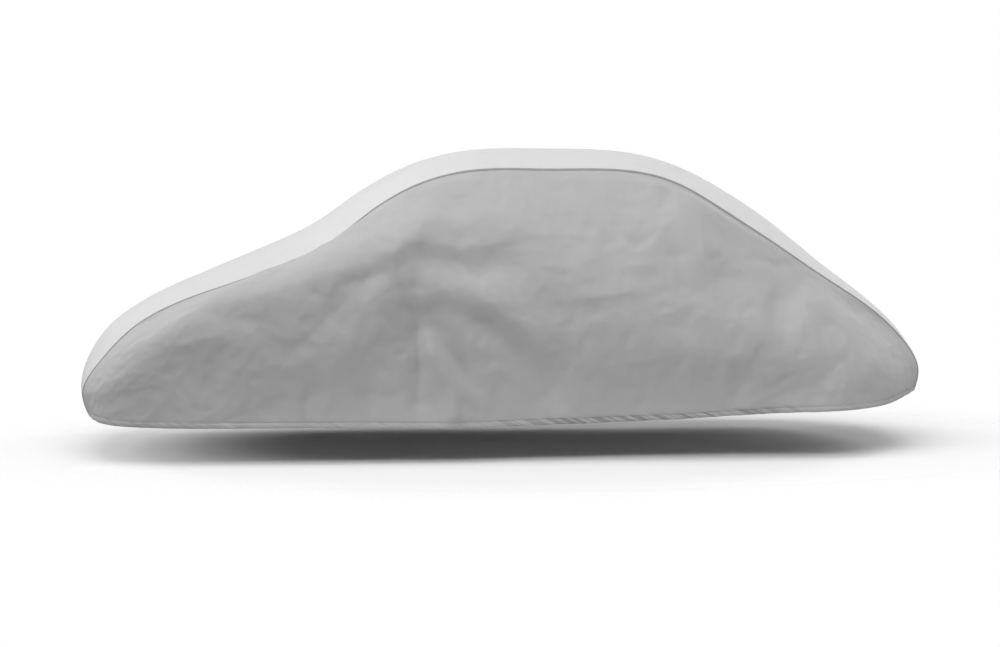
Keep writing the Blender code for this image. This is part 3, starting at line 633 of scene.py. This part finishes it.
def hem_relief(from_hem):
    """The stitch line's groove and the fuller turned edge below it."""
    groove = -GROOVE_DEPTH * np.exp(-((from_hem - HEM_DEPTH + GROOVE_DROP) / GROOVE_WIDTH) ** 2)
    belly = BELLY_HEIGHT * fade(np.abs(from_hem - BELLY_PLACE) / BELLY_REACH)
    return groove + belly


def cloth_thickness(from_hem):
    """Thickness of the cloth, which is that of the turned hem up to the stitch line."""
    return CLOTH + (HEM - CLOTH) * fade((from_hem - HEM_DEPTH + HEM_TOP[0]) / HEM_TOP[1])


def side_panel(side, folds, seam, across, outward, material):
    """One grey side panel, from the seam's edge down to the turned hem."""
    grid = side_surface(seam + across * (BINDING_WIDTH / 2.0 + GAP))
    columns, rows = grid.shape[:2]
    down = run_of(grid, 1)
    along = run_of(grid, 0)
    along = along - along[columns // 2]
    from_hem = down[:, -1:] - down
    shares = np.linspace(0.0, 1.0, columns)[:, None]
    ends = (1.0 - fade(shares / END_FADE)) * (1.0 - fade((1.0 - shares) / END_FADE))
    near_ends = (1.0 - fade(shares / CORNER_FADE)) * (1.0 - fade((1.0 - shares) / CORNER_FADE))
    from_seam = 1.0 - fade(down / SEAM_FADE)
    cloth_v = down + (1.0 - grid[:, :1, 2])
    height = fold_heights(grid[..., 0], grid[..., 2], folds) * ends * from_seam
    shift = PANEL_START[side]
    curl = CURL * np.tanh(grid[..., 0] / CURL_LENGTH) * (CURL_FROM - grid[..., 1])
    crumples = crumple_heights(grid[..., 0] + curl + shift, cloth_v + PANEL_START_DOWN, PANEL_CRUMPLES)
    height += crumples * near_ends * from_seam
    height += gather_heights(along + shift, from_hem, grid[..., 0]) * near_ends
    height += pucker_heights(along + shift, down) * near_ends
    relief = hem_relief(from_hem)
    grid = grid + grid_normals(grid) * height[..., None]
    normals = grid_normals(grid)
    normals[0] = outward[:rows][::-1]
    normals[-1] = outward[-rows:]
    normals[:, 0] = outward[rows - 1:len(outward) - rows + 1]
    grid = grid + normals * relief[..., None]
    thickness = cloth_thickness(from_hem)
    gathers = np.stack((gather_places(along + shift, from_hem),
                        gather_strength(grid[..., 0], from_hem) * near_ends), axis=-1)
    maps = {"cloth": np.stack((along, cloth_v), axis=-1), "gathers": gathers}
    return closed_sheet(f"side_cloth_{side}", grid, normals, thickness, edge_rounding(from_hem),
                        OUTWARD[side], material, maps), grid, normals


def top_panel(seam, middle, across, outward, material):
    """The pale strip over the middle, rounded from seam to seam."""
    edge = seam - across * (BINDING_WIDTH / 2.0 + GAP)
    places = np.linspace(-1.0, 1.0, STRIP_CELLS + 1)
    drop = (places ** 2)[None, :, None]
    grid = middle[:, None] + (edge - middle)[:, None] * drop
    grid[:, :, 1] = edge[:, 1][:, None] * places[None, :]
    along = run_of(grid, 0)
    wide = run_of(grid, 1)
    from_hem = np.minimum(along, along[-1:] - along)
    from_seam = np.minimum(wide, wide[:, -1:] - wide)
    crumples = crumple_heights(along + STRIP_START, wide + STRIP_START_ACROSS, STRIP_CRUMPLES)
    height = crumples * (1.0 - fade(from_seam / STRIP_SEAM_FADE))
    height += pucker_heights(along + STRIP_SIDES_APART * (places[None, :] > 0.0), from_seam)
    height += gather_heights(wide + STRIP_START, from_hem, grid[..., 0])
    relief = hem_relief(from_hem)
    grid = grid + grid_normals(grid) * height[..., None]
    normals = grid_normals(grid)
    normals[:, -1] = outward
    normals[:, 0] = outward * (1.0, -1.0, 1.0)
    grid = grid + normals * relief[..., None]
    thickness = cloth_thickness(from_hem)
    gathers = np.stack((gather_places(wide + STRIP_START, from_hem),
                        gather_strength(grid[..., 0], from_hem)), axis=-1)
    maps = {"cloth": np.stack((along, wide - wide[:, -1:] / 2.0), axis=-1), "gathers": gathers}
    return closed_sheet("top_cloth", grid, normals, thickness, edge_rounding(from_hem), 1.0,
                        material, maps), grid, normals


def seam_binding(side, seam, across, outward, material):
    """The tape over one seam: a domed band outside and inside, joined between the cloth's edges."""
    along = run_of(seam, 0)
    from_hem = np.minimum(along, along[-1] - along)
    depth = cloth_thickness(from_hem)
    band = TAPE_BAND + tuple((-a, b) for a, b in TAPE_BAND[-2::-1])
    section = [(a, b, 0.0) for a, b in band] + [(a, -b, -1.0) for a, b in band[::-1]]
    share, length, start, seed = TAPE_WAVES
    wave = 1.0 + share * soft_noise(along / length, np.full_like(along, start), seed)
    rings = np.stack([seam + across * (a * wave)[:, None] + outward * (b + c * depth)[:, None]
                      for a, b, c in section], axis=1)
    size = len(section)
    count = len(seam)
    index = np.arange(count * size).reshape(count, size)
    after = np.roll(index, -1, axis=1)
    faces = np.stack((index[:-1], index[1:], after[1:], after[:-1]), axis=-1).reshape(-1, 4).tolist()
    faces.append(index[0].tolist())
    faces.append(index[-1, ::-1].tolist())
    uv = np.stack((np.repeat(along[:, None], size, 1),
                   np.repeat([[a for a, b, c in section]], count, 0)), axis=-1).reshape(-1, 2)
    vertices = rings.reshape(-1, 3)
    if side == "left":
        vertices = vertices * (1.0, -1.0, 1.0)
        faces = [face[::-1] for face in faces]
    return add_mesh(f"seam_tape_{side}", vertices, faces, material, {"cloth": uv})


def read_line(run, values, places):
    """Values that are given at runs along a line, at other places of the run."""
    return np.stack([np.interp(places, run, values[:, k]) for k in range(3)], axis=-1)


def stitches(name, line, outward, pitch, length, radius, material):
    """A row of short thread stitches along a line of points, each a small spindle."""
    run = run_of(line, 0)
    centres = np.arange(pitch, run[-1] - pitch, pitch)
    up = unit(read_line(run, outward, centres))
    way = unit(read_line(run, line, centres + READ_STEP) - read_line(run, line, centres - READ_STEP))
    side = np.cross(way, up)
    points = []
    for share, fat, lift in STITCH_RINGS:
        middle = read_line(run, line, centres + share * length) + up * (radius * lift)
        for a, b in ((1.0, 0.0), (0.0, 1.0), (-1.0, 0.0), (0.0, -1.0)):
            points.append(middle + (side * a + up * b) * (radius * fat))
    vertices = np.stack(points, axis=1)
    count, size = vertices.shape[:2]
    faces = []
    for ring in range(len(STITCH_RINGS) - 1):
        for k in range(4):
            a, b = ring * 4 + k, ring * 4 + (k + 1) % 4
            faces.append((a, b, b + 4, a + 4))
    faces += [(3, 2, 1, 0), (size - 4, size - 3, size - 2, size - 1)]
    start = np.arange(count)[:, None, None] * size
    faces = (np.array(faces)[None] + start).reshape(-1, 4)
    return add_mesh(name, vertices.reshape(-1, 3), faces, material)


# ---------------------------------------------------------------- materials
def new_material(name, roughness, colour=None):
    """A material with its node tree and its shader, in a plain colour if one is given."""
    material = bpy.data.materials.new(name)
    material.use_nodes = True
    shader = material.node_tree.nodes["Principled BSDF"]
    shader.inputs["Roughness"].default_value = roughness
    if colour:
        shader.inputs["Base Color"].default_value = (*colour, 1.0)
    return material, material.node_tree, shader


def add_node(tree, kind, values=None, **settings):
    """A shader node with the given settings, each input given a value or linked to a socket."""
    node = tree.nodes.new(f"ShaderNode{kind}")
    for name, setting in settings.items():
        setattr(node, name, setting)
    for key, value in (values or {}).items():
        if isinstance(value, bpy.types.NodeSocket):
            tree.links.new(value, node.inputs[key])
        else:
            node.inputs[key].default_value = value
    return node


def cloth_material(name, colour, roughness, mottle, bump):
    """Non-woven cloth: pressed fibre felt with a fine bonded grain, soft crumples, faint clouding and painted
    shade in the hem's gather creases.
    """
    material, tree, shader = new_material(name, roughness)
    shader.inputs["Specular IOR Level"].default_value = 0.25
    shader.inputs["Sheen Weight"].default_value = 0.12
    shader.inputs["Sheen Roughness"].default_value = 0.6
    place = add_node(tree, "TexCoord").outputs["Object"]

    def noise(scale, detail, rough):
        values = {"Vector": place, "Scale": scale, "Detail": detail, "Roughness": rough}
        return add_node(tree, "TexNoise", values).outputs["Fac"]

    def calculate(operation, a, b):
        return add_node(tree, "Math", {0: a, 1: b}, operation=operation).outputs[0]

    # creases of the gathered hem, where the noise along the gathers is near its middle value: bumps there,
    # and painted shade that darkens the colour there
    gathers = add_node(tree, "UVMap", uv_map="gathers").outputs["UV"]
    split = add_node(tree, "SeparateXYZ", {"Vector": gathers})
    waves = add_node(tree, "TexNoise", {"W": split.outputs["X"], "Scale": 1.0, "Detail": 1.0},
                     noise_dimensions="1D").outputs["Fac"]
    from_crease = calculate("ABSOLUTE", calculate("SUBTRACT", waves, 0.5), 0.0)
    crease_range = {"Value": from_crease, "From Max": CREASE_WIDTH, "To Min": 1.0, "To Max": 0.0}
    crease = add_node(tree, "MapRange", crease_range, interpolation_type="SMOOTHSTEP").outputs[0]
    creases = calculate("MULTIPLY", crease, split.outputs["Y"])
    # painted shade: the cloth's colour is darkened in the gather creases
    painted_crease_shade = calculate("SUBTRACT", 1.0, calculate("MULTIPLY", creases, CREASE_PAINTED_SHADE))

    # colour
    clouds = calculate("MULTIPLY", noise(*CLOUDS), 0.5)
    fibres = calculate("MULTIPLY", noise(*FIBRES), 0.5)
    shade_range = {"Value": calculate("ADD", clouds, fibres),
                   "From Min": SHADE_RANGE[0], "From Max": SHADE_RANGE[1],
                   "To Min": 1.0 - mottle, "To Max": 1.0 + mottle}
    ramp = add_node(tree, "MapRange", shade_range).outputs[0]
    tint = add_node(tree, "VectorMath", operation="SCALE")
    tint.inputs[0].default_value = colour
    tree.links.new(calculate("MULTIPLY", ramp, painted_crease_shade), tint.inputs["Scale"])
    tree.links.new(tint.outputs[0], shader.inputs["Base Color"])

    # surface, from the finest bumps to the gathers
    bonds = add_node(tree, "TexVoronoi", {"Vector": place, "Scale": BOND_SCALE}).outputs["Distance"]
    grain = calculate("ADD", calculate("MULTIPLY", bonds, BOND_SHARE), noise(*GRAIN))
    strength, distance = GRAIN_BUMP
    fine = add_node(tree, "Bump", {"Strength": strength, "Distance": distance, "Height": grain})
    crumple = add_node(tree, "Bump", {"Strength": bump, "Distance": CRUMPLE_DEPTH,
                                      "Height": noise(*FINE_CRUMPLES), "Normal": fine.outputs["Normal"]})
    strength, distance = GATHER_BUMP
    gather = add_node(tree, "Bump", {"Strength": strength, "Distance": distance, "Height": creases,
                                     "Normal": crumple.outputs["Normal"]}, invert=True)
    tree.links.new(gather.outputs["Normal"], shader.inputs["Normal"])
    return material


def tape_material(name, colour, roughness):
    """Narrow woven tape with fine ribs across it."""
    material, tree, shader = new_material(name, roughness, colour)
    place = add_node(tree, "UVMap", uv_map="cloth").outputs["UV"]
    ribs = add_node(tree, "TexWave", {"Vector": place, "Scale": RIB_SCALE, "Distortion": RIB_DISTORTION})
    strength, distance = RIB_BUMP
    bump = add_node(tree, "Bump", {"Strength": strength, "Distance": distance,
                                   "Height": ribs.outputs["Fac"]})
    tree.links.new(bump.outputs["Normal"], shader.inputs["Normal"])
    return material


# ---------------------------------------------------------------- light, floor, camera
def add_light(name, place, target, size, power):
    light = bpy.data.lights.new(name, "AREA")
    light.shape = "RECTANGLE"
    light.size, light.size_y = size
    light.energy = power
    lamp = bpy.data.objects.new(name, light)
    bpy.context.collection.objects.link(lamp)
    lamp.location = place
    lamp.rotation_euler = (Vector(target) - Vector(place)).to_track_quat("-Z", "Y").to_euler()


def add_world(seen, light):
    """A pale surround as the camera sees it, and the fill light that it gives."""
    world = bpy.data.worlds.new("surround")
    bpy.context.scene.world = world
    world.use_nodes = True
    tree = world.node_tree
    fill = tree.nodes["Background"]
    fill.inputs["Color"].default_value = (1.0, 1.0, 1.0, 1.0)
    fill.inputs["Strength"].default_value = light
    behind = add_node(tree, "Background", {"Color": (seen, seen, seen, 1.0)})
    path = add_node(tree, "LightPath")
    mix = add_node(tree, "MixShader", {"Fac": path.outputs["Is Camera Ray"], 1: fill.outputs[0],
                                       2: behind.outputs[0]})
    tree.links.new(mix.outputs[0], tree.nodes["World Output"].inputs["Surface"])


def floor_material(colour, roughness, reach_x, reach_y):
    """Pale and matt in the middle, clear at the rim."""
    material, tree, shader = new_material("floor", roughness, colour)
    shader.inputs["Specular IOR Level"].default_value = 0.1
    place = add_node(tree, "TexCoord").outputs["Object"]
    shares = add_node(tree, "VectorMath", {0: place, 1: (reach_x, reach_y, FLOOR_THICK)}, operation="DIVIDE")
    reach = add_node(tree, "VectorMath", {0: shares.outputs[0]}, operation="LENGTH")
    fade_range = {"Value": reach.outputs["Value"], "From Min": FLOOR_FADE[0], "From Max": FLOOR_FADE[1]}
    share = add_node(tree, "MapRange", fade_range, interpolation_type="SMOOTHSTEP")
    clear = add_node(tree, "BsdfTransparent")
    mix = add_node(tree, "MixShader", {"Fac": share.outputs[0], 1: shader.outputs[0],
                                       2: clear.outputs[0]})
    tree.links.new(mix.outputs[0], tree.nodes["Material Output"].inputs["Surface"])
    return material


def add_floor(reach_x, reach_y, material):
    """An oval floor in rings round its middle."""
    points = [(0.0, 0.0, 0.0)]
    for ring in range(1, FLOOR_RINGS + 1):
        for spoke in range(FLOOR_SPOKES):
            angle = 2.0 * math.pi * spoke / FLOOR_SPOKES
            share = ring / FLOOR_RINGS
            points.append((reach_x * share * math.cos(angle), reach_y * share * math.sin(angle), 0.0))
    faces = [(0, 1 + k, 1 + (k + 1) % FLOOR_SPOKES) for k in range(FLOOR_SPOKES)]
    for ring in range(FLOOR_RINGS - 1):
        start = 1 + ring * FLOOR_SPOKES
        for k in range(FLOOR_SPOKES):
            a, b = start + k, start + (k + 1) % FLOOR_SPOKES
            faces.append((a, a + FLOOR_SPOKES, b + FLOOR_SPOKES, b))
    floor = add_mesh("floor", points, faces, material)


def add_camera():
    camera = bpy.data.cameras.new("camera")
    camera.sensor_width = SENSOR
    camera.lens = SENSOR * FOCAL_PIXELS / IMAGE_WIDTH
    holder = bpy.data.objects.new("camera", camera)
    bpy.context.collection.objects.link(holder)
    holder.location = CAMERA_PLACE
    holder.rotation_euler = (math.radians(90.0 - CAMERA_PITCH), 0.0, math.radians(-CAMERA_YAW))
    bpy.context.scene.camera = holder


# ---------------------------------------------------------------- the cover
def settle(piece, node):
    """Ties a piece to the body, and hides the node that it stands for, if any."""
    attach(piece, "root")
    if node:
        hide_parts(node)


def stitch_hem(label, line, normals, thread):
    """The row of stitches that holds a turned hem, on the cloth's face."""
    row = stitches(f"hem_stitches_{label}", line + normals * HEM_STITCH_LIFT, normals, *HEM_STITCH, thread)
    settle(row, None)


def build_cover():
    pale = cloth_material("pale_cloth", *PALE_CLOTH)
    grey = cloth_material("grey_cloth", *GREY_CLOTH)
    tape = tape_material("dark_tape", *TAPE)
    colour, roughness = THREAD
    thread = new_material("thread", roughness, colour)[0]
    seam, rise = seam_line()
    middle, across, outward = seam_frames(seam, rise)
    strip, grid, normals = top_panel(seam, middle, across, outward, pale)
    settle(strip, "top_panel")
    for side, folds in (("left", LEFT_FOLDS), ("right", RIGHT_FOLDS)):
        panel, panel_grid, panel_normals = side_panel(side, folds, seam, across, outward, grey)
        settle(panel, f"side_panel_{side}")
        ribbon = seam_binding(side, seam, across, outward, tape)
        settle(ribbon, f"seam_binding_{side}")
        flip = (1.0, OUTWARD[side], 1.0)
        for label, offset in SEAM_STITCH_ROWS:
            line = seam + across * offset + outward * SEAM_STITCH_LIFT
            row = stitches(f"seam_stitches_{label}_{side}", line * flip, outward * flip, *SEAM_STITCH, thread)
            settle(row, None)
        hem = (slice(2, -2), PANEL_ROWS + 1)
        stitch_hem(side, panel_grid[hem] * flip, panel_normals[hem] * flip, thread)
    for label, at in (("front", len(HEM_STEPS)), ("rear", -1 - len(HEM_STEPS))):
        stitch_hem(label, grid[at, 1:-1], normals[at, 1:-1], thread)


bpy.context.scene.view_settings.view_transform = "Standard"
build_cover()
add_floor(*FLOOR_REACH, floor_material(*FLOOR, *FLOOR_REACH))
add_world(SURROUND, FILL_LIGHT)
for light in LIGHTS:
    add_light(*light)
add_camera()
